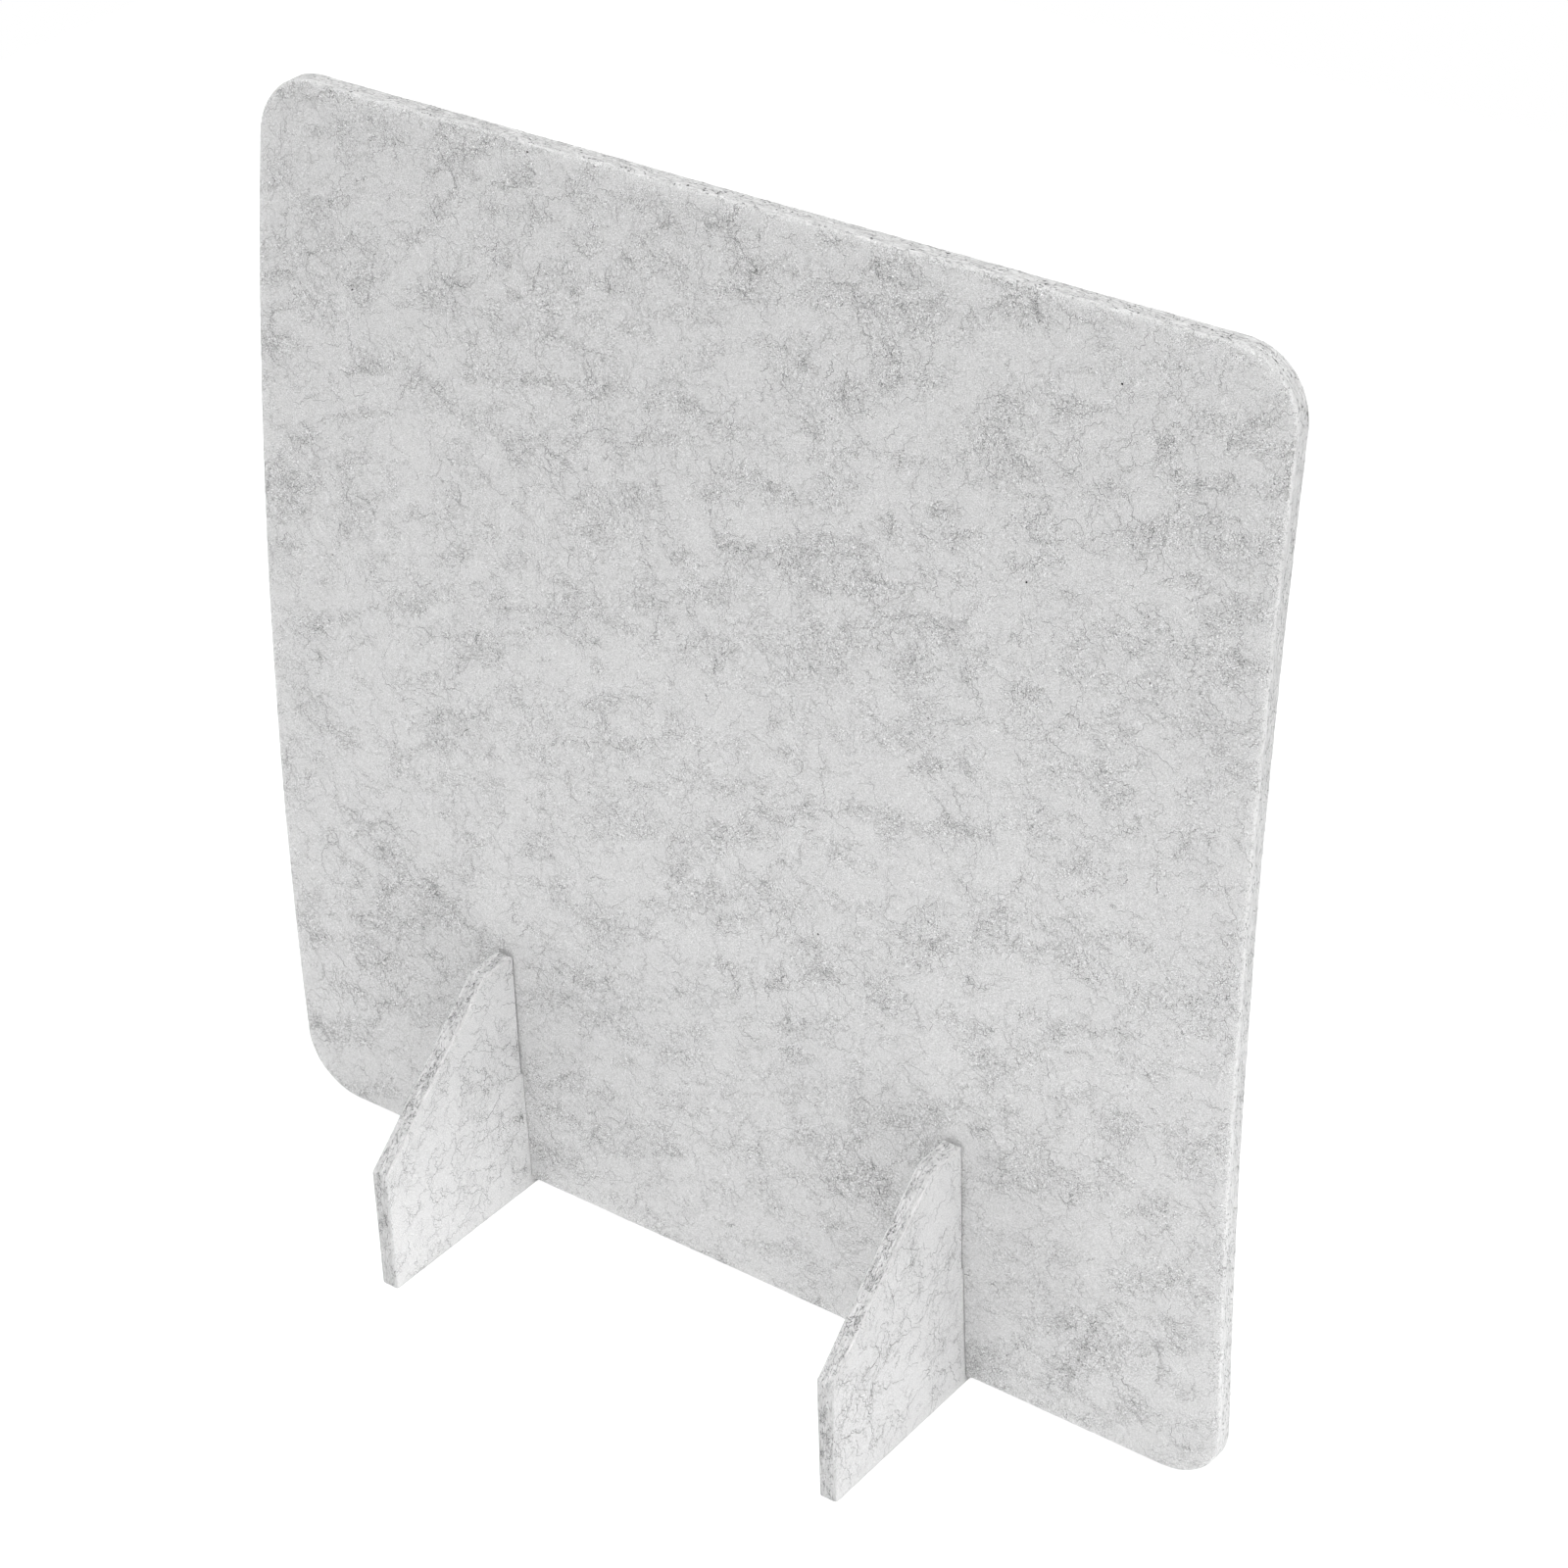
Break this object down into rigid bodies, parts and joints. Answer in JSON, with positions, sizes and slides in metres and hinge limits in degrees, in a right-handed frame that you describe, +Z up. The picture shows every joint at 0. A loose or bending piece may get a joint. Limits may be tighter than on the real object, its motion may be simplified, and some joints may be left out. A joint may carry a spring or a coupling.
{
  "type": "acoustic divider screen",
  "caption": "Desk screen of soft grey felt board: a bowed square panel with rounded corners, standing in slotted trapezoid feet that pull off.",
  "frame": {"origin": "middle of the footprint, on the surface that the feet's soles stand on", "axes": "+X along the panel, to the right seen from the front; -Y is the front, +Y the back; +Z up"},
  "size_m": [0.3, 0.114, 0.3005],
  "materials": {
    "panel_felt": "matte needled felt, mottled light grey with dark curly fibres",
    "foot_felt": "matte needled felt, light grey with dark curly fibres and darker cut edges"
  },
  "bodies": {
    "panel": {"panel": "panel_felt"},
    "left_foot": {"left_foot": "foot_felt"},
    "right_foot": {"right_foot": "foot_felt"}
  },
  "joints": [
    {"name": "left_foot_slide", "type": "slide", "parent": "panel", "child": "left_foot", "axis": [0, 0, 1], "range_m": [-0.08, 0]},
    {"name": "right_foot_slide", "type": "slide", "parent": "panel", "child": "right_foot", "axis": [0, 0, 1], "range_m": [-0.08, 0]}
  ]
}
